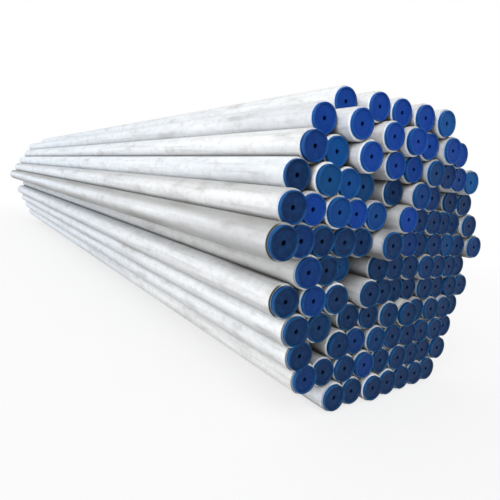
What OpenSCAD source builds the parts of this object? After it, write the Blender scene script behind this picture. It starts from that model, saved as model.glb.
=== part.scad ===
// A bundle of straight round steel pipes, laid down as stock, with a plastic plug in both ends
// of every pipe. Row 1 is the top row. Pipes run along Y, rows run along X, and Z is up.

/* [Pipe] */
// outside diameter of each pipe
pipe_od = 114.3; // [60:0.1:170]
// wall thickness of each pipe
pipe_wall = 7.1; // [3:0.1:9]
// flat face that the weld bevel leaves at the bore
root_face = 1.6; // [1:0.1:2.4]
// slope of the weld bevel, in degrees from the cut face
bevel_angle = 30; // [10:1:40]
// cut length of each pipe
pipe_len = 6000; // [3000:100:7000]
// clear space between neighbouring pipes
pipe_gap = 0.3; // [0.3:0.1:0.9]

/* [Stagger] */
// how far one step in the stagger lists moves a pipe toward the viewer's end
stagger_step = 10; // [0:1:14]

/* [Plug] */
// how far the plug flange laps over the cut end of the pipe wall, on the radius
flange_lap = 1.2; // [0.6:0.1:2.4]
// thickness of the plug flange, rim included
flange_t = 12; // [9:0.5:16]
// width of the raised rim around the flange face, its inner slope included
rim_w = 9; // [7:0.5:14]
// depth of the dished face inside the rim
dish_depth = 6; // [3:0.5:7]
// diameter of the vent hole in the middle of the plug
vent_d = 16; // [8:0.5:24]
// length of the tapered skirt that goes into the pipe
skirt_len = 34; // [20:1:60]
// wall thickness of the skirt
skirt_t = 2.5; // [1.5:0.1:4]
// how much the skirt narrows from flange to tip, on the radius
skirt_taper = 3; // [1:0.1:5]
// height of the grip rings on the skirt
ring_h = 1.2; // [0.5:0.1:2]
// clear space between the skirt and the pipe bore, and under a seated flange
plug_fit = 0.3; // [0.3:0.1:0.8]
// extra distance that a badly driven plug stands out of its pipe
plug_play = 9; // [0:0.5:14]

/* [Colours] */
// grey of the pickled steel
steel_grey = 0.80; // [0.5:0.01:0.95]
// blue of the plugs
plug_blue = 0.62; // [0.3:0.01:0.9]

/* [Hidden] */
$fn = 96;
pitch = pipe_od + pipe_gap;
rise = pitch * sqrt(3) / 2;
pipe_r = pipe_od / 2;
bore_r = pipe_r - pipe_wall;
root_r = bore_r + root_face;
bevel_len = (pipe_r - root_r) * tan(bevel_angle);
flange_r = bore_r + flange_lap;
skirt_r = bore_r - plug_fit;
groove_r = skirt_r - ring_h;
tip_r = skirt_r - skirt_taper;
skirt_in_r = tip_r - skirt_t;
vent_r = vent_d / 2;
edge = 1.2;
slope_w = dish_depth * 0.7;

// Where each row begins, in pipe pitches from the middle of row 7, top row first.
row_start = [-3, -4.5, -5, -5.5, -6, -6.5, -5, -5.5, -5, -4.5, -4, -2.5];

// How many steps each pipe is drawn out toward -Y, row by row, left to right seen from -Y.
// A pipe that sits far back is hidden by its neighbours.
stagger = [
    [-7, -1, 0, 2, 4],
    [2, 8, -10, 3, 4, 2, 5, 1],
    [5, 4, 9, -10, 1, 0, 3, 1, -1, -2],
    [6, 8, 6, 2, -12, -3, 2, -1, -14, -7, -7],
    [13, 9, 9, 6, 5, -10, 2, -2, -2, -5, -8, -6],
    [18, 12, 9, 7, 5, 10, -12, 0, -4, -4, -5, -7, -5],
    [11, 7, 1, -12, 0, -1, -2, -2, -4, -6, -9],
    [8, 9, 8, -8, 3, -1, -4, -6, -5, -7, -8, -9],
    [9, 7, -12, -1, -1, 0, 0, -4, -4, -5, -9],
    [6, -12, 1, -1, 0, -1, -2, -4, -4, -7],
    [4, 1, 1, 0, -1, -1, -3, -5, -5],
    [3, 1, 2, 0, -2, -3, -5]
];
rows = len(stagger);

// The bundle is centred over the origin in X and Y and stands on Z = 0.
first_x = min(row_start);
last_x = max([for (r = [0 : rows - 1]) row_start[r] + len(stagger[r]) - 1]);
mid_x = (first_x + last_x) / 2;
most_out = max([for (r = [0 : rows - 1]) max([for (i = [0 : len(stagger[r]) - 1]) front_tip(r, i)])]);
most_back = max([for (r = [0 : rows - 1]) max([for (i = [0 : len(stagger[r]) - 1]) back_tip(r, i)])]);
mid_y = (most_back - most_out) / 2;

// Place of one pipe in the stack, r from 0 at the top and i from 0 at the left:
// its axis in X and Z, how far it is drawn out, and the Y of its near end.
function pipe_x(r, i) = (row_start[r] + i - mid_x) * pitch;
function pipe_z(r) = pipe_r + (rows - 1 - r) * rise;
function drawn(r, i) = stagger[r][i] * stagger_step;
function near_end_y(r, i) = -pipe_len / 2 - mid_y - drawn(r, i);

// How far a plug's flange stands off the cut end: most are home, about one in five is not.
function front_stand(r, i) = plug_fit + ((r * 3 + i * 7) % 5 == 1 ? plug_play * (1 + (r + i) % 3) / 3 : 0);
function back_stand(r, i) = plug_fit + ((r * 2 + i * 3) % 5 == 2 ? plug_play * (1 + (r + i) % 3) / 3 : 0);

// Outermost points of one plugged pipe toward -Y and toward +Y.
function front_tip(r, i) = drawn(r, i) + front_stand(r, i) + flange_t;
function back_tip(r, i) = back_stand(r, i) + flange_t - drawn(r, i);

// One open tube lying along Y, its near end at y = 0. Both ends are bevelled for welding.
module tube() {
    rotate([-90, 0, 0])
        rotate_extrude()
            polygon([
                [bore_r, 0],
                [root_r, 0],
                [pipe_r, bevel_len],
                [pipe_r, pipe_len - bevel_len],
                [root_r, pipe_len],
                [bore_r, pipe_len]
            ]);
}

// One end plug, turned about Z: flange face toward -Z, seat on Z = 0, hollow skirt toward +Z.
// The face is dished inside a raised rim with a sloped inner side, and two grip rings stand up
// from the tapered skirt.
module plug() {
    rotate_extrude()
        polygon([
            [vent_r, dish_depth - flange_t],
            [flange_r - rim_w, dish_depth - flange_t],
            [flange_r - rim_w + slope_w, -flange_t],
            [flange_r - edge, -flange_t],
            [flange_r, edge - flange_t],
            [flange_r, 0],
            [skirt_r, 0],
            [skirt_r, skirt_len * 0.16],
            [groove_r, skirt_len * 0.22],
            [groove_r, skirt_len * 0.38],
            [skirt_r - ring_h * 0.3, skirt_len * 0.44],
            [skirt_r - ring_h * 0.3, skirt_len * 0.54],
            [groove_r - ring_h * 0.5, skirt_len * 0.62],
            [tip_r, skirt_len],
            [skirt_in_r, skirt_len],
            [skirt_in_r, 0],
            [vent_r, 0]
        ]);
}

// All the tubes of one row.
module pipe_row(r) {
    for (i = [0 : len(stagger[r]) - 1])
        translate([pipe_x(r, i), near_end_y(r, i), pipe_z(r)])
            tube();
}

// Both plugs of every tube of one row.
module plug_row(r) {
    for (i = [0 : len(stagger[r]) - 1])
        translate([pipe_x(r, i), near_end_y(r, i), pipe_z(r)]) {
            translate([0, -front_stand(r, i), 0])
                rotate([-90, 0, 0])
                    plug();
            translate([0, pipe_len + back_stand(r, i), 0])
                rotate([90, 0, 0])
                    plug();
        }
}

module steel() {
    color([steel_grey, steel_grey, steel_grey * 0.98])
        children();
}

module blue_plastic() {
    color([0.03, 0.18, plug_blue])
        children();
}

module pipes_row_01() steel() pipe_row(0);
module pipes_row_02() steel() pipe_row(1);
module pipes_row_03() steel() pipe_row(2);
module pipes_row_04() steel() pipe_row(3);
module pipes_row_05() steel() pipe_row(4);
module pipes_row_06() steel() pipe_row(5);
module pipes_row_07() steel() pipe_row(6);
module pipes_row_08() steel() pipe_row(7);
module pipes_row_09() steel() pipe_row(8);
module pipes_row_10() steel() pipe_row(9);
module pipes_row_11() steel() pipe_row(10);
module pipes_row_12() steel() pipe_row(11);
module plugs_row_01() blue_plastic() plug_row(0);
module plugs_row_02() blue_plastic() plug_row(1);
module plugs_row_03() blue_plastic() plug_row(2);
module plugs_row_04() blue_plastic() plug_row(3);
module plugs_row_05() blue_plastic() plug_row(4);
module plugs_row_06() blue_plastic() plug_row(5);
module plugs_row_07() blue_plastic() plug_row(6);
module plugs_row_08() blue_plastic() plug_row(7);
module plugs_row_09() blue_plastic() plug_row(8);
module plugs_row_10() blue_plastic() plug_row(9);
module plugs_row_11() blue_plastic() plug_row(10);
module plugs_row_12() blue_plastic() plug_row(11);

pipes_row_01();
pipes_row_02();
pipes_row_03();
pipes_row_04();
pipes_row_05();
pipes_row_06();
pipes_row_07();
pipes_row_08();
pipes_row_09();
pipes_row_10();
pipes_row_11();
pipes_row_12();
plugs_row_01();
plugs_row_02();
plugs_row_03();
plugs_row_04();
plugs_row_05();
plugs_row_06();
plugs_row_07();
plugs_row_08();
plugs_row_09();
plugs_row_10();
plugs_row_11();
plugs_row_12();
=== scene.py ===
"""Finishes a packed bundle of steel pipes: pickled steel, blue end plugs and a pale stage."""

from math import pi, radians

import bpy
from mathutils import Matrix, Vector


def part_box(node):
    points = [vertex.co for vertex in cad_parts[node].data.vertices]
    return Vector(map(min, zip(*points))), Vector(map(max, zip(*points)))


bl_info = {
    "name": "Steel Pipe Bundle",
    "version": (1, 0, 0),
    "blender": (4, 5, 0),
    "location": "View3D > Sidebar > Pipes",
    "description": "Finishes a bundle of steel pipes and their end plugs",
    "category": "Object",
}

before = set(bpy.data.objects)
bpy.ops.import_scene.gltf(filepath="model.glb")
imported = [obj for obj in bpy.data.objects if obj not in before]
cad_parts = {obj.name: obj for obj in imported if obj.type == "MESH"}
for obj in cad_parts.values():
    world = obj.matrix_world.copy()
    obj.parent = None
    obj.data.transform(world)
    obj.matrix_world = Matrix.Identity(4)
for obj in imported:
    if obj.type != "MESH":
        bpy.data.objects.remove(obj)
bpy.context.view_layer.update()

ROW_COUNT = 12
PIPE_NODES = [f"pipes_row_{row:02d}" for row in range(1, ROW_COUNT + 1)]
PLUG_NODES = [f"plugs_row_{row:02d}" for row in range(1, ROW_COUNT + 1)]

# How grey each row's steel is, top row first: all over, as painted shade and painted dark
# reflections, and as painted shade on its top side and on its underside. Then how much dirt and
# painted shade lie in the gap under the row above and in the gap where it rests on the next row,
# and how much painted shade lies to the left of its cut ends, the first most of all. Row 6 is
# painted the darkest.
STEEL_TONES = [
    (0.10, 0.15, 0.10, 0.50, 0.90, 0.00),
    (0.08, 0.15, 0.15, 0.50, 0.25, 0.00),
    (0.06, 0.12, 0.34, 0.15, 1.00, 0.00),
    (0.00, 0.00, 0.00, 0.90, 0.12, 0.00),
    (0.06, 0.48, 0.00, 0.30, 0.55, 0.10),
    (0.40, 0.80, 0.90, 0.75, 1.00, 1.00),
    (0.22, 0.15, 0.30, 0.20, 0.60, 0.50),
    (0.08, 0.00, 0.50, 0.00, 1.00, 1.00),
    (0.08, 0.10, 0.45, 0.60, 1.00, 0.80),
    (0.10, 0.15, 0.38, 0.80, 0.95, 0.80),
    (0.08, 0.15, 0.30, 0.50, 0.80, 0.70),
    (0.08, 0.15, 0.25, 0.50, 0.60, 0.50),
]
# How much painted shade darkens each row's plugs at the left, and how much more each plug to the
# right gets. The top two rows are below 0 and the brightest, and the lower ones are painted
# darkest.
PLUG_TONES = [
    (-0.20, 0.000),
    (-0.08, 0.000),
    (0.08, 0.010),
    (0.44, 0.055),
    (0.24, 0.040),
    (0.52, 0.030),
    (0.64, 0.030),
    (0.78, 0.060),
    (0.98, 0.030),
    (0.68, 0.045),
    (0.72, 0.045),
    (0.76, 0.045),
]

# Lengths are in metres. The widest row's box gives the pipe diameter and the pitch between axes.
ROW_LOW, ROW_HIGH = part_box("pipes_row_06")
PIPES_IN_ROW_06 = 13
PIPE_OD = ROW_HIGH.z - ROW_LOW.z
PITCH = (ROW_HIGH.x - ROW_LOW.x - PIPE_OD) / (PIPES_IN_ROW_06 - 1)
# A plug's flange is as high as the box of its row, and laps this far over the pipe wall.
PLUG_LOW, PLUG_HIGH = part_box("plugs_row_06")
FLANGE_R = (PLUG_HIGH.z - PLUG_LOW.z) / 2
FLANGE_LAP = 0.0012
BORE_R = FLANGE_R - FLANGE_LAP
# Distances past the bore's radius at which its darkness has faded out and is still full.
BORE_FADE = (0.0010, 0.0002)
# How far in from the flange's edge its raised rim begins and is full, and so for its side.
RIM_RISE = (0.0083, 0.0046)
FLANGE_SIDE = (0.0010, 0.0001)
# Spacing of the turned rings that the mould leaves on a plug, and how far the painted shade in its
# corners reaches.
MOULD_RING = 0.0016
CORNER_REACH = 0.012
# Y over which the steel goes from fresh to weathered, and distances from the middle over which the
# hollows at both ends fill with dirt and painted shade.
WEATHERING = (-2.7, 0.2)
END_DIRT = (2.55, 2.85)

# How far apart the greyest and the palest pipe of a row are.
GREY_RANGE = 0.16
# The draw from which on a plug of the brightest rows is greener, and how much lower it is on the
# rows painted darkest.
TEAL_FROM = 0.58
TEAL_FALL = 0.36

# Seeds of the draws that differ from row to row, and between the two ends of a pipe.
ROW_SEED = 37.0
END_SEED = 627.0
# Length of noise from which each pipe draws its own stretch.
NOISE_SHIFT = 50.0
CREVICE_SAMPLES = 8

# Width of the camera's sensor in millimetres, and how far it sees in metres.
SENSOR_WIDTH = 36.0
VIEW_END = 100.0
# Ways that the two lamps shine.
SUN_WAY = (0.60, 0.72, -0.55)
FILL_WAY = (0.90, 0.25, -0.22)
# Distances from the middle of the floor at which its shadow begins to fade and is gone.
SHADOW_END = (3.5, 8.0)
FLOOR_ROUGHNESS = 0.9
FLOOR_GLOSS = 0.1

SEAT_GROUP = "Pipe Seat"
GRIME_GROUP = "Yard Grime"
FLOAT = "NodeSocketFloat"
COLOUR = "NodeSocketColor"
VECTOR = "NodeSocketVector"
WHITE = (1.0, 1.0, 1.0, 1.0)

# Spacing of the columns and rows of a node tree.
COLUMN = 200
LINE = 180


def place(tree, kind, **settings):
    """Adds a node and sets its properties."""
    node = tree.nodes.new(kind)
    for name, value in settings.items():
        setattr(node, name, value)
    return node


def feed(tree, socket, source):
    """Links a socket to another node's output, or writes a plain value into it."""
    if isinstance(source, bpy.types.NodeSocket):
        tree.links.new(source, socket)
    else:
        socket.default_value = source


def arrange(tree):
    """Lays the nodes out in columns, each to the right of all the nodes that feed it."""
    sources = {node.name: [] for node in tree.nodes}
    for link in tree.links:
        sources[link.to_node.name].append(link.from_node.name)
    columns = {}

    def column(name):
        if name not in columns:
            columns[name] = 1 + max(map(column, sources[name]), default=-1)
        return columns[name]

    filled = {}
    for node in tree.nodes:
        across = column(node.name)
        down = filled.get(across, 0)
        filled[across] = down + 1
        node.location = (across * COLUMN, -down * LINE)


def maths(tree, operation, *values, clamp=False):
    """Adds a Math node on up to three values and returns its result."""
    node = place(tree, "ShaderNodeMath", operation=operation, use_clamp=clamp)
    for socket, value in zip(node.inputs, values):
        feed(tree, socket, value)
    return node.outputs[0]


def times(tree, first, second):
    """Multiplies two values."""
    return maths(tree, "MULTIPLY", first, second)


def plus(tree, base, value, share, clamp=False):
    """Adds a share of one value to another."""
    return maths(tree, "MULTIPLY_ADD", value, share, base, clamp=clamp)


def spread(tree, value, low, high, to_low=0.0, to_high=1.0):
    """Maps the range from low to high smoothly onto the one from to_low to to_high."""
    node = place(tree, "ShaderNodeMapRange", interpolation_type="SMOOTHSTEP")
    feed(tree, node.inputs["Value"], value)
    feed(tree, node.inputs["From Min"], low)
    feed(tree, node.inputs["From Max"], high)
    feed(tree, node.inputs["To Min"], to_low)
    feed(tree, node.inputs["To Max"], to_high)
    return node.outputs["Result"]


def coat(tree, base, colour, mask, share=None):
    """Covers a colour with a plain one where a mask is 1, or by a share of the mask."""
    if share is not None:
        mask = times(tree, mask, share)
    node = place(tree, "ShaderNodeMix", data_type="RGBA")
    first, second = (socket for socket in node.inputs if socket.type == "RGBA")
    feed(tree, node.inputs["Factor"], mask)
    feed(tree, first, base if isinstance(base, bpy.types.NodeSocket) else (*base, 1))
    feed(tree, second, (*colour, 1))
    return next(socket for socket in node.outputs if socket.type == "RGBA")


def speckle(tree, vector, scale, detail, roughness, squeeze=None, distortion=0.0):
    """Adds a 3-D noise, drawn out along the pipes where it is squeezed, and returns its value."""
    if squeeze is not None:
        vector = drawn_out(tree, vector, squeeze)
    node = place(tree, "ShaderNodeTexNoise")
    feed(tree, node.inputs["Vector"], vector)
    feed(tree, node.inputs["Scale"], scale)
    feed(tree, node.inputs["Detail"], detail)
    feed(tree, node.inputs["Roughness"], roughness)
    feed(tree, node.inputs["Distortion"], distortion)
    return node.outputs["Fac"]


def drawn_out(tree, vector, squeeze):
    """Squeezes a place along Y, so that a noise read there is drawn out along the pipes."""
    node = place(tree, "ShaderNodeVectorMath", operation="MULTIPLY")
    feed(tree, node.inputs[0], vector)
    feed(tree, node.inputs[1], (1.0, squeeze, 1.0))
    return node.outputs[0]


def combine(tree, *values):
    """Joins three values into one vector."""
    node = place(tree, "ShaderNodeCombineXYZ")
    for socket, value in zip(node.inputs, values):
        feed(tree, socket, value)
    return node.outputs[0]


def split(tree, kind, source):
    """Splits a vector or a colour into its three values."""
    node = place(tree, kind)
    feed(tree, node.inputs[0], source)
    return node.outputs


def crevice(tree, reach, opening=0.62, closed=0.12):
    """A mask that is 1 in the narrow gaps between neighbours and 0 in the open."""
    node = place(tree, "ShaderNodeAmbientOcclusion", samples=CREVICE_SAMPLES)
    feed(tree, node.inputs["Distance"], reach)
    return spread(tree, node.outputs["AO"], opening, closed)


def emboss(tree, shader, height, strength, distance):
    """Presses a height into the shader's surface."""
    bump = place(tree, "ShaderNodeBump")
    feed(tree, bump.inputs["Strength"], strength)
    feed(tree, bump.inputs["Distance"], distance)
    feed(tree, bump.inputs["Height"], height)
    feed(tree, shader.inputs["Normal"], bump.outputs[0])


def new_group(name, inputs, outputs):
    """Makes a shader node group with named sockets, and returns it with its two ends."""
    tree = bpy.data.node_groups.new(name, "ShaderNodeTree")
    for socket, kind, default in inputs:
        made = tree.interface.new_socket(socket, in_out="INPUT", socket_type=kind)
        if default is not None:
            made.default_value = default
    for socket, kind in outputs:
        tree.interface.new_socket(socket, in_out="OUTPUT", socket_type=kind)
    start = place(tree, "NodeGroupInput")
    end = place(tree, "NodeGroupOutput")
    return tree, start.outputs, end.inputs


def use_group(tree, name, **values):
    """Places a node group in a material, with its own values, and returns its outputs."""
    node = place(tree, "ShaderNodeGroup", node_tree=bpy.data.node_groups[name])
    for socket, value in values.items():
        feed(tree, node.inputs[socket.replace("_", " ")], value)
    return node.outputs


def make_seat_group():
    """Finds which pipe of its row a point belongs to, and where it is round that pipe's axis."""
    tree, given, result = new_group(
        SEAT_GROUP,
        [
            ("First Axis", FLOAT, 0.0),
            ("Axis Height", FLOAT, 0.5),
            ("Pitch", FLOAT, PITCH),
        ],
        [
            ("Radius", FLOAT),
            ("Number", FLOAT),
            ("Height", FLOAT),
            ("Along", FLOAT),
            ("Wrapped", VECTOR),
            ("Pipe Tint", COLOUR),
            ("End Tint", COLOUR),
        ],
    )
    point = place(tree, "ShaderNodeTexCoord")
    across, along, up = split(tree, "ShaderNodeSeparateXYZ", point.outputs["Object"])
    from_first = maths(tree, "SUBTRACT", across, given["First Axis"])
    number = maths(tree, "ROUND", maths(tree, "DIVIDE", from_first, given["Pitch"]))
    side = maths(tree, "SUBTRACT", from_first, times(tree, number, given["Pitch"]))
    height = maths(tree, "SUBTRACT", up, given["Axis Height"])
    square = maths(tree, "MULTIPLY_ADD", height, height, times(tree, side, side))
    row_seed = times(tree, given["Axis Height"], ROW_SEED)
    end_seed = times(tree, maths(tree, "SIGN", along), END_SEED)
    pipe_noise = place(tree, "ShaderNodeTexWhiteNoise", noise_dimensions="2D")
    feed(tree, pipe_noise.inputs["Vector"], combine(tree, number, row_seed, 0.0))
    end_noise = place(tree, "ShaderNodeTexWhiteNoise", noise_dimensions="3D")
    feed(tree, end_noise.inputs["Vector"], combine(tree, number, row_seed, end_seed))
    # Each pipe reads its own stretch of the noises, so that neighbours never match.
    shift = times(tree, pipe_noise.outputs["Value"], NOISE_SHIFT)
    feed(tree, result["Radius"], maths(tree, "SQRT", square))
    feed(tree, result["Number"], number)
    feed(tree, result["Height"], height)
    feed(tree, result["Along"], along)
    feed(tree, result["Wrapped"], combine(tree, side, maths(tree, "ADD", along, shift), height))
    feed(tree, result["Pipe Tint"], pipe_noise.outputs["Color"])
    feed(tree, result["End Tint"], end_noise.outputs["Color"])
    arrange(tree)


def make_grime_group():
    """Yard dust and handling smudges: soft cloudy dirt, and small dark specks."""
    tree, given, result = new_group(
        GRIME_GROUP,
        [
            ("Vector", VECTOR, None),
            ("Cloud Scale", FLOAT, 6.0),
            ("Cloud Amount", FLOAT, 0.5),
            ("Speck Scale", FLOAT, 60.0),
            ("Speck Amount", FLOAT, 0.5),
        ],
        [("Clouds", FLOAT), ("Specks", FLOAT)],
    )

    def dirt(noise, amount, least, gain, softness):
        """Keeps the peaks of a noise, and more of them the greater the amount is."""
        edge = maths(tree, "SUBTRACT", least, times(tree, amount, gain))
        return spread(tree, noise, edge, maths(tree, "ADD", edge, softness))

    clouds = speckle(
        tree, given["Vector"], given["Cloud Scale"], detail=4.0, roughness=0.6, distortion=0.4
    )
    specks = speckle(tree, given["Vector"], given["Speck Scale"], detail=2.0, roughness=0.5)
    clouds = dirt(clouds, given["Cloud Amount"], least=0.78, gain=0.35, softness=0.22)
    specks = dirt(specks, given["Speck Amount"], least=0.82, gain=0.2, softness=0.08)
    feed(tree, result["Clouds"], clouds)
    feed(tree, result["Specks"], specks)
    arrange(tree)


def make_groups():
    """Builds the two node groups that both finishes use, unless they are there."""
    for name, make in ((SEAT_GROUP, make_seat_group), (GRIME_GROUP, make_grime_group)):
        if name not in bpy.data.node_groups:
            make()


def new_material(name):
    """Makes a node material and returns it with its tree and Principled shader."""
    material = bpy.data.materials.new(name)
    material.use_nodes = True
    tree = material.node_tree
    return material, tree, tree.nodes["Principled BSDF"]


def find_seat(tree, row_box):
    """Places the seat group, set to the pipes of one row."""
    low, high = row_box
    return use_group(
        tree, SEAT_GROUP, First_Axis=low.x + PIPE_OD / 2, Axis_Height=(low.z + high.z) / 2
    )


def bare_steel(tree, seat, noises, grey, settings):
    """The steel's colour, with its pale patches, streaks and stains, and the row's painted shade.
    """
    draw = split(tree, "ShaderNodeSeparateColor", seat["Pipe Tint"])
    colour = coat(tree, settings.steel_cool, settings.steel_warm, draw[0])
    # The row's grey is painted shade and dark reflections; each pipe's draw moves it within
    # GREY_RANGE.
    greyness = plus(tree, grey - GREY_RANGE / 2, draw[1], share=GREY_RANGE, clamp=True)
    colour = coat(tree, colour, settings.steel_grey, greyness)
    pale = spread(tree, noises["patches"], low=0.35, high=0.70, to_high=0.55)
    colour = coat(tree, colour, settings.steel_pale, pale)
    # The far half has lain out in the weather and is duller and bluer.
    weather = spread(tree, seat["Along"], *WEATHERING, to_high=settings.weathered)
    colour = coat(tree, colour, settings.steel_weathered, weather)
    streaked = spread(tree, noises["streaks"], low=0.46, high=0.74, to_high=0.5)
    colour = coat(tree, colour, settings.steel_streak, streaked)
    stained = spread(tree, noises["patches"], low=0.50, high=0.22, to_high=0.45)
    return coat(tree, colour, settings.steel_streak, stained)


def soiled_steel(tree, colour, noises, grime, settings):
    """Smudges, mottling, dust and specks on the steel."""
    smudged = spread(tree, noises["smudges"], low=0.50, high=0.85, to_high=settings.smudge)
    colour = coat(tree, colour, settings.steel_dirt, smudged)
    mottled = spread(tree, noises["mottle"], low=0.44, high=0.80, to_high=0.32)
    colour = coat(tree, colour, settings.steel_dirt, mottled)
    colour = coat(tree, colour, settings.steel_dirt, grime["Clouds"], share=0.30)
    return coat(tree, colour, settings.steel_speck, grime["Specks"], share=0.55)


def grey_sides(tree, seat, patches, top_grey, under_grey):
    """A mask of the painted shade that greys a pipe's top and underside against its flank."""
    top = spread(tree, seat["Height"], low=0.012, high=0.050, to_high=top_grey)
    under = spread(tree, seat["Height"], low=0.004, high=-0.046, to_high=under_grey)
    uneven = spread(tree, patches, low=0.30, high=0.70, to_low=0.70, to_high=1.15)
    return times(tree, maths(tree, "ADD", top, under), uneven)


def caked_dirt(tree, seat, gap_above, gap_below, settings):
    """A mask of the dirt and painted shade in the narrow gaps, and in the hollows between the pipe
    ends.
    """
    side = spread(
        tree, seat["Height"], low=0.010, high=-0.020, to_low=gap_above, to_high=gap_below
    )
    gap = times(tree, crevice(tree, settings.gap_reach), side)
    hollow = crevice(tree, settings.hollow_reach, opening=0.20, closed=0.08)
    at_end = spread(tree, maths(tree, "ABSOLUTE", seat["Along"]), *END_DIRT)
    deepest = maths(tree, "MAXIMUM", gap, times(tree, hollow, at_end))
    return times(tree, deepest, settings.gap_dirt)


def dirty_ends(tree, colour, seat, left_dirt, settings):
    """Dull dirt on the cut ends toward the right, and painted shade on their left, the first most.
    """
    geometry = place(tree, "ShaderNodeNewGeometry")
    normal = split(tree, "ShaderNodeSeparateXYZ", geometry.outputs["Normal"])
    cut = spread(tree, maths(tree, "ABSOLUTE", normal[1]), low=0.4, high=0.7)
    dull = spread(
        tree, seat["Number"], low=1.0, high=8.0, to_low=0.10, to_high=settings.cut_dirt
    )
    colour = coat(tree, colour, settings.steel_under, times(tree, cut, dull))
    # Painted shade on the left of each cut end, strongest on a row's first pipe.
    leftward = spread(tree, normal[0], low=-0.05, high=-0.30, to_high=left_dirt)
    outermost = spread(tree, seat["Number"], low=0.0, high=1.0, to_low=1.0, to_high=0.3)
    smear = times(tree, times(tree, cut, leftward), outermost)
    return coat(tree, colour, settings.gap_colour, smear)


def steel_material(name, row_box, tones, settings):
    """Pickled satin steel for one row of pipes."""
    grey, top_grey, under_grey, gap_above, gap_below, left_dirt = tones
    material, tree, shader = new_material(name)
    seat = find_seat(tree, row_box)
    wrapped = seat["Wrapped"]
    # Streaks and stains run with the pipe, so their noises are drawn out along its length.
    noises = {
        "streaks": speckle(tree, wrapped, scale=62.0, detail=3.0, roughness=0.6, squeeze=0.025),
        "patches": speckle(tree, wrapped, scale=9.0, detail=5.0, roughness=0.62, squeeze=0.16),
        "smudges": speckle(tree, wrapped, scale=17.0, detail=2.5, roughness=0.55, squeeze=0.30),
        "mottle": speckle(tree, wrapped, scale=48.0, detail=4.0, roughness=0.65, squeeze=0.6),
    }
    grain = speckle(tree, wrapped, scale=420.0, detail=2.0, roughness=0.6)
    grime = use_group(
        tree, GRIME_GROUP,
        Vector=drawn_out(tree, wrapped, squeeze=0.45),
        Cloud_Scale=11.0, Cloud_Amount=settings.grime,
        Speck_Scale=60.0, Speck_Amount=settings.grime,
    )
    # Dirt and painted shade in the narrow gaps and in the hollows between the pipe ends.
    caked = caked_dirt(tree, seat, gap_above, gap_below, settings)

    colour = bare_steel(tree, seat, noises, grey, settings)
    colour = soiled_steel(tree, colour, noises, grime, settings)
    # Painted shade: each pipe's top and underside are greyed, as much as the row's table gives.
    sides = grey_sides(tree, seat, noises["patches"], top_grey, under_grey)
    colour = coat(tree, colour, settings.steel_under, sides)
    # Inside the bore the scale was never brushed off, so it is darker.
    bore = spread(tree, seat["Radius"], *(BORE_R + past for past in BORE_FADE))
    colour = coat(tree, colour, settings.bore_dark, bore, share=0.75)
    # Dirt on the cut ends, and painted shade on their left.
    colour = dirty_ends(tree, colour, seat, left_dirt, settings)
    # The gaps and hollows get their near-black dirt and painted shade.
    colour = coat(tree, colour, settings.gap_colour, caked)
    feed(tree, shader.inputs["Base Color"], colour)

    rough = plus(tree, settings.steel_roughness, noises["streaks"], share=0.18)
    rough = plus(tree, rough, grime["Clouds"], share=0.15)
    rough = plus(tree, rough, caked, share=0.3, clamp=True)
    feed(tree, shader.inputs["Roughness"], rough)
    metallic = plus(tree, settings.steel_metallic, grime["Clouds"], share=-0.25)
    metallic = plus(tree, metallic, caked, share=-settings.steel_metallic, clamp=True)
    feed(tree, shader.inputs["Metallic"], metallic)
    feed(tree, shader.inputs["Specular IOR Level"], settings.steel_gloss)
    relief = plus(tree, noises["streaks"], grain, share=0.25)
    emboss(tree, shader, relief, strength=0.25, distance=0.0006)
    arrange(tree)
    return material


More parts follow.
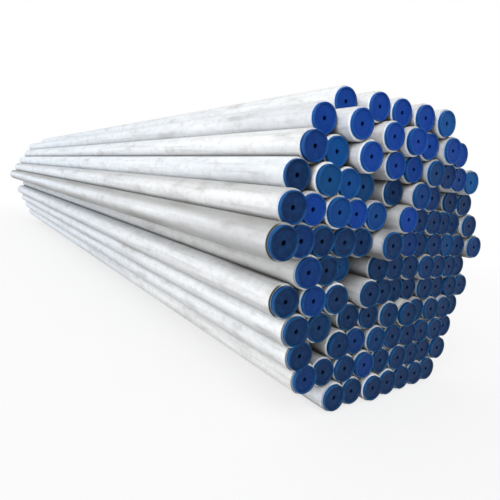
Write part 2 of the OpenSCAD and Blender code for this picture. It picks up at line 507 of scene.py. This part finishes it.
def plug_material(name, row_box, tones, settings):
    """Blue moulded plastic for one row of plugs, each plug with its own shade."""
    darkness, darker_step = tones
    material, tree, shader = new_material(name)
    seat = find_seat(tree, row_box)
    wrapped = seat["Wrapped"]
    mottle = speckle(tree, wrapped, scale=60.0, detail=3.0, roughness=0.6)
    scuffs = speckle(tree, wrapped, scale=22.0, detail=2.0, roughness=0.5)
    grime = use_group(
        tree, GRIME_GROUP,
        Vector=wrapped,
        Cloud_Scale=22.0, Cloud_Amount=settings.grime,
        Speck_Scale=180.0, Speck_Amount=settings.grime,
    )

    # The lower rows, painted darker, have more of the greener plugs, and darker, greener scuffs.
    draw = split(tree, "ShaderNodeSeparateColor", seat["End Tint"])
    teal = spread(tree, draw[0], low=TEAL_FROM - TEAL_FALL * darkness, high=0.95)
    colour = coat(tree, settings.plug_blue, settings.plug_teal, teal)
    # Painted shade: the navy deepens down the rows and toward the right, on top of each plug's
    # draw.
    darker = plus(tree, darkness, seat["Number"], share=darker_step)
    navy = spread(tree, maths(tree, "ADD", draw[1], darker), low=0.45, high=1.25)
    colour = coat(tree, colour, settings.plug_navy, navy)
    # Scuffs, painted darker and greener on the rows in painted shade.
    scuffed = [
        new + (old - new) * darkness for new, old in zip(settings.plug_pale, settings.plug_aged)
    ]
    colour = coat(tree, colour, scuffed, spread(tree, mottle, low=0.35, high=0.75, to_high=0.20))
    # The crest of the raised rim is scuffed paler here and there, and the flange's side is painted
    # paler all round as a painted highlight.
    rim = spread(tree, seat["Radius"], *(FLANGE_R - inward for inward in RIM_RISE))
    worn = spread(tree, scuffs, low=0.40, high=0.66, to_low=0.06, to_high=0.60)
    colour = coat(tree, colour, scuffed, times(tree, rim, worn))
    # Painted highlight on the flange's side, all round.
    side = spread(
        tree, seat["Radius"], *(FLANGE_R - inward for inward in FLANGE_SIDE), to_high=0.75
    )
    colour = coat(tree, colour, settings.plug_side, side)
    colour = coat(tree, colour, settings.dust, grime["Clouds"], share=0.14)
    colour = coat(tree, colour, settings.dust, grime["Specks"], share=0.35)
    # Painted shade in the plug's corners, where the flange meets the pipe's end.
    colour = coat(tree, colour, settings.plug_corner, crevice(tree, CORNER_REACH), share=0.6)
    feed(tree, shader.inputs["Base Color"], colour)

    rough = plus(tree, settings.plug_roughness, mottle, share=0.2)
    rough = plus(tree, rough, grime["Clouds"], share=0.25)
    feed(tree, shader.inputs["Roughness"], rough)
    feed(tree, shader.inputs["Specular IOR Level"], settings.plug_gloss)
    # Faint turned rings from the mould, and a fine grain.
    rings = maths(tree, "SINE", times(tree, seat["Radius"], 2 * pi / MOULD_RING))
    relief = plus(tree, rings, mottle, share=3.0)
    emboss(tree, shader, relief, strength=0.2, distance=0.0002)
    arrange(tree)
    return material


def dress(node_name, material):
    """Gives a CAD node its finished material."""
    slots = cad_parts[node_name].data.materials
    slots.clear()
    slots.append(material)


def seen_by(tree, first_kind, *other_kinds):
    """1 for rays of any of these kinds, and 0 for the rest."""
    path = place(tree, "ShaderNodeLightPath")
    seen = path.outputs[first_kind]
    for kind in other_kinds:
        seen = maths(tree, "MAXIMUM", seen, path.outputs[kind])
    return seen


def floor_material(settings):
    """Pale floor that keeps the bundle's shadow and fades to the background's white far away."""
    material, tree, shader = new_material("stage_floor")
    feed(tree, shader.inputs["Base Color"], (*settings.floor_colour, 1))
    feed(tree, shader.inputs["Roughness"], FLOOR_ROUGHNESS)
    feed(tree, shader.inputs["Specular IOR Level"], FLOOR_GLOSS)
    point = place(tree, "ShaderNodeTexCoord")
    distance = place(tree, "ShaderNodeVectorMath", operation="LENGTH")
    feed(tree, distance.inputs[0], point.outputs["Object"])
    far = spread(
        tree, distance.outputs["Value"], *SHADOW_END, to_low=settings.shadow_fade, to_high=1.0
    )
    seen = seen_by(tree, "Is Camera Ray", "Is Glossy Ray")
    white = place(tree, "ShaderNodeEmission")
    feed(tree, white.inputs["Color"], WHITE)
    mix = place(tree, "ShaderNodeMixShader")
    feed(tree, mix.inputs[0], times(tree, far, seen))
    feed(tree, mix.inputs[1], shader.outputs[0])
    feed(tree, mix.inputs[2], white.outputs[0])
    feed(tree, tree.nodes["Material Output"].inputs["Surface"], mix.outputs[0])
    arrange(tree)
    return material


def add_to_scene(name, data):
    """Makes an object from its data and links it to the scene."""
    item = bpy.data.objects.new(name, data)
    bpy.context.scene.collection.objects.link(item)
    return item


def make_floor(settings):
    """A flat square floor under the bundle."""
    half = settings.floor_size / 2
    corners = [(-half, -half, 0), (half, -half, 0), (half, half, 0), (-half, half, 0)]
    mesh = bpy.data.meshes.new("stage_floor")
    mesh.from_pydata(corners, [], [(0, 1, 2, 3)])
    mesh.materials.append(floor_material(settings))
    add_to_scene("stage_floor", mesh)


def make_camera(settings):
    """The camera at the photograph's place, heading, pitch and roll."""
    lens = bpy.data.cameras.new("camera")
    lens.sensor_width = SENSOR_WIDTH
    lens.lens = settings.lens
    lens.shift_y = settings.lens_shift
    lens.clip_end = VIEW_END
    camera = add_to_scene("camera", lens)
    turn = Matrix.Rotation(-settings.camera_heading, 4, "Z")
    tip = Matrix.Rotation(pi / 2 + settings.camera_pitch, 4, "X")
    lean = Matrix.Rotation(settings.camera_roll, 4, "Z")
    camera.matrix_world = Matrix.Translation(Vector(settings.camera_place)) @ turn @ tip @ lean
    bpy.context.scene.camera = camera


def make_lamps(settings):
    """Two broad soft suns from the left, one high and one low."""
    for name, strength, way in (
        ("soft_sun", settings.sun_strength, SUN_WAY),
        ("low_fill", settings.fill_strength, FILL_WAY),
    ):
        lamp = bpy.data.lights.new(name, "SUN")
        lamp.energy = strength
        lamp.angle = settings.sun_spread
        sun = add_to_scene(name, lamp)
        sun.rotation_euler = Vector(way).to_track_quat("-Z", "Y").to_euler()


def make_sky(settings):
    """An even sky that the camera, gloss and glass see as white."""
    world = bpy.data.worlds.new("stage_sky")
    bpy.context.scene.world = world
    world.use_nodes = True
    tree = world.node_tree
    sky = tree.nodes["Background"]
    feed(tree, sky.inputs["Color"], (*settings.sky_colour, 1))
    seen = seen_by(tree, "Is Camera Ray", "Is Glossy Ray", "Is Transmission Ray")
    strength = spread(tree, seen, low=0.0, high=1.0, to_low=settings.sky_strength, to_high=1.0)
    feed(tree, sky.inputs["Strength"], strength)
    arrange(tree)


def colour_property(name, description, default):
    """A colour that the panel shows as a swatch."""
    return bpy.props.FloatVectorProperty(
        name=name, description=description, default=default,
        subtype="COLOR", size=3, min=0.0, max=1.0,
    )


def share_property(name, description, default):
    """A share from 0 to 1."""
    return bpy.props.FloatProperty(
        name=name, description=description, default=default, min=0.0, max=1.0, subtype="FACTOR"
    )


def length_property(name, description, default):
    """A length in metres."""
    return bpy.props.FloatProperty(
        name=name, description=description, default=default,
        min=0.0, subtype="DISTANCE", unit="LENGTH",
    )


def angle_property(name, description, degrees):
    """An angle, given in degrees."""
    return bpy.props.FloatProperty(
        name=name, description=description, default=radians(degrees),
        subtype="ANGLE", unit="ROTATION",
    )


def strength_property(name, description, default):
    """The strength of a light."""
    return bpy.props.FloatProperty(name=name, description=description, default=default, min=0.0)


class PipeFinish(bpy.types.PropertyGroup):
    """Colours and wear of the steel."""

    steel_cool: colour_property(
        "Cool steel", "Colour of the bluest pipes", (0.80, 0.84, 0.89)
    )
    steel_warm: colour_property(
        "Warm steel", "Colour of the warmest pipes", (0.84, 0.84, 0.83)
    )
    steel_pale: colour_property(
        "Pale patches", "Colour where the pickling left the steel palest", (0.92, 0.94, 0.96)
    )
    steel_grey: colour_property(
        "Grey steel", "Colour of the greyest pipes", (0.34, 0.34, 0.34)
    )
    steel_streak: colour_property(
        "Streaks", "Colour of the long streaks", (0.52, 0.53, 0.55)
    )
    steel_weathered: colour_property(
        "Weathered steel", "Colour of the steel at the duller end", (0.64, 0.71, 0.79)
    )
    # Grey of the painted shade on the pipes' tops and undersides, and of the dull dirt on the cut
    # ends.
    steel_under: colour_property(
        "Sides", "Colour of the painted shade on the top and the underside, and of the dull cut ends", (0.205, 0.20, 0.188)
    )
    steel_dirt: colour_property(
        "Dirt", "Colour of the dried dirt", (0.37, 0.355, 0.335)
    )
    steel_speck: colour_property(
        "Specks", "Colour of the small dark marks", (0.22, 0.21, 0.20)
    )
    bore_dark: colour_property(
        "Bore", "Colour of the inside of a pipe", (0.16, 0.15, 0.13)
    )
    # Near-black dirt and painted shade in the gaps, also used for the painted shade left of the
    # cut ends.
    gap_colour: colour_property(
        "Gap colour", "Colour of the dirt and painted shade between the pipes", (0.055, 0.048, 0.036)
    )
    # How much dirt and painted shade the gaps and hollows get, and how far it reaches.
    gap_dirt: share_property(
        "Gap dirt and shade", "How much dirt and painted shade lie in the gaps between pipes", 0.9
    )
    gap_reach: length_property(
        "Gap reach", "How far out of a gap the dirt and painted shade reach", 0.05
    )
    hollow_reach: length_property(
        "Hollow reach", "Size of the hollows between pipe ends that dirt and painted shade fill", 0.28
    )
    smudge: share_property("Smudges", "How strong the dirty smudges are", 0.6)
    cut_dirt: share_property("Cut ends", "How dirty the cut ends at the right are", 0.8)
    weathered: share_property("Weathering", "How much duller the far half is", 0.7)
    steel_metallic: share_property("Metallic", "How metallic the steel looks", 0.15)
    steel_roughness: share_property("Roughness", "Lowest roughness of the steel", 0.42)
    steel_gloss: share_property("Gloss", "Strength of the steel's reflection", 0.25)
    grime: share_property("Grime", "How much of the steel is soiled", 0.45)


class PlugFinish(bpy.types.PropertyGroup):
    """Colours and wear of the plugs."""

    plug_blue: colour_property(
        "Blue", "Usual colour of a plug", (0.0034, 0.0378, 0.2436)
    )
    plug_teal: colour_property(
        "Teal", "Colour of the greener plugs", (0.0025, 0.0655, 0.2142)
    )
    # Navy is each plug's own dark tone and also the painted shade of the lower rows.
    plug_navy: colour_property(
        "Navy", "Colour of the darkest plugs", (0.0042, 0.0193, 0.0714)
    )
    # Painted shade in the plug's corners.
    plug_corner: colour_property(
        "Corners", "Colour of the painted shade in the plug's corners", (0.0084, 0.0168, 0.0588)
    )
    plug_pale: colour_property(
        "Pale blue", "Colour of scuffed plastic", (0.0084, 0.0924, 0.3360)
    )
    # Scuffed plastic in the painted shade of the darker rows.
    plug_aged: colour_property(
        "Shaded pale blue", "Colour of scuffed plastic in the painted shade of the darkest rows", (0.0067, 0.1008, 0.2184)
    )
    # Painted highlight on the flange's side.
    plug_side: colour_property(
        "Flange side", "Colour of the painted highlight on the flange's side", (0.0118, 0.0924, 0.2772)
    )
    dust: colour_property("Dust", "Colour of the dust on the plugs", (0.10, 0.12, 0.15))
    plug_gloss: share_property("Gloss", "Strength of the plastic's reflection", 0.08)
    plug_roughness: share_property("Roughness", "Lowest roughness of the plastic", 0.30)
    grime: share_property("Grime", "How much of a plug is dusty", 0.35)


class StageLook(bpy.types.PropertyGroup):
    """Camera, floor and light."""

    camera_place: bpy.props.FloatVectorProperty(
        name="Camera place", description="Where the camera stands",
        default=(-1.470, -4.137, 0.775), subtype="TRANSLATION", unit="LENGTH",
    )
    camera_heading: angle_property("Heading", "Turn of the view from +Y toward +X", 34.58)
    camera_pitch: angle_property("Pitch", "Tilt of the view, upward positive", -6.21)
    camera_roll: angle_property("Roll", "Lean of the camera", 7.08)
    lens: bpy.props.FloatProperty(
        name="Lens", description="Focal length in millimetres on a 36 mm sensor",
        default=32.39, subtype="DISTANCE_CAMERA",
    )
    lens_shift: bpy.props.FloatProperty(
        name="Shift", description="Vertical lens shift, in sensor widths", default=-0.0129
    )
    floor_size: length_property("Floor width", "Width of the floor", 60.0)
    floor_colour: colour_property("Floor colour", "Colour of the floor", (0.96, 0.96, 0.96))
    shadow_fade: share_property(
        "Shadow fade", "How much the shadow on the floor is lightened", 0.7
    )
    sky_colour: colour_property(
        "Sky colour", "Colour of the light from all sides", (1.0, 1.0, 1.0)
    )
    sky_strength: strength_property("Sky", "Strength of the even light from all sides", 0.59)
    sun_strength: strength_property("Sun", "Strength of the soft light from above", 1.45)
    fill_strength: strength_property("Fill", "Strength of the low light from the left", 1.30)
    sun_spread: angle_property("Softness", "Apparent size of the two lamps", 75)


class PIPES_OT_steel(bpy.types.Operator):
    """Finish every row of pipes in pickled steel"""

    bl_idname = "pipes.steel"
    bl_label = "Finish Pipes"

    def execute(self, context):
        settings = context.scene.pipe_finish
        make_groups()
        for row, (node, tones) in enumerate(zip(PIPE_NODES, STEEL_TONES), start=1):
            dress(node, steel_material(f"steel_row_{row:02d}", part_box(node), tones, settings))
        return {"FINISHED"}


class PIPES_OT_plugs(bpy.types.Operator):
    """Finish every row of end plugs in blue plastic"""

    bl_idname = "pipes.plugs"
    bl_label = "Finish Plugs"

    def execute(self, context):
        settings = context.scene.plug_finish
        make_groups()
        rows = zip(PLUG_NODES, PIPE_NODES, PLUG_TONES)
        for row, (node, pipes, tones) in enumerate(rows, start=1):
            dress(node, plug_material(f"plug_row_{row:02d}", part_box(pipes), tones, settings))
        return {"FINISHED"}


class PIPES_OT_stage(bpy.types.Operator):
    """Set up the floor, the light and the camera"""

    bl_idname = "pipes.stage"
    bl_label = "Set Up Stage"

    def execute(self, context):
        settings = context.scene.stage_look
        make_floor(settings)
        make_lamps(settings)
        make_sky(settings)
        make_camera(settings)
        context.scene.view_settings.view_transform = "Standard"
        return {"FINISHED"}


class PIPES_PT_bundle(bpy.types.Panel):
    """Finishes of the bundle and its stage"""

    bl_idname = "PIPES_PT_bundle"
    bl_label = "Steel Pipe Bundle"
    bl_space_type = "VIEW_3D"
    bl_region_type = "UI"
    bl_category = "Pipes"

    def draw(self, context):
        scene = context.scene
        for heading, group, operator in (
            ("Steel", scene.pipe_finish, "pipes.steel"),
            ("Plugs", scene.plug_finish, "pipes.plugs"),
            ("Stage", scene.stage_look, "pipes.stage"),
        ):
            box = self.layout.box()
            box.label(text=heading)
            for name in group.__annotations__:
                box.prop(group, name)
            box.operator(operator)


CLASSES = (
    PipeFinish,
    PlugFinish,
    StageLook,
    PIPES_OT_steel,
    PIPES_OT_plugs,
    PIPES_OT_stage,
    PIPES_PT_bundle,
)


def register():
    """Registers the classes and the scene's settings."""
    for cls in CLASSES:
        bpy.utils.register_class(cls)
    bpy.types.Scene.pipe_finish = bpy.props.PointerProperty(type=PipeFinish)
    bpy.types.Scene.plug_finish = bpy.props.PointerProperty(type=PlugFinish)
    bpy.types.Scene.stage_look = bpy.props.PointerProperty(type=StageLook)


def unregister():
    """Takes the settings and the classes away again."""
    del bpy.types.Scene.stage_look
    del bpy.types.Scene.plug_finish
    del bpy.types.Scene.pipe_finish
    for cls in reversed(CLASSES):
        bpy.utils.unregister_class(cls)


def main():
    """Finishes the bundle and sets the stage."""
    register()
    bpy.ops.pipes.steel()
    bpy.ops.pipes.plugs()
    bpy.ops.pipes.stage()


if __name__ == "__main__":
    main()
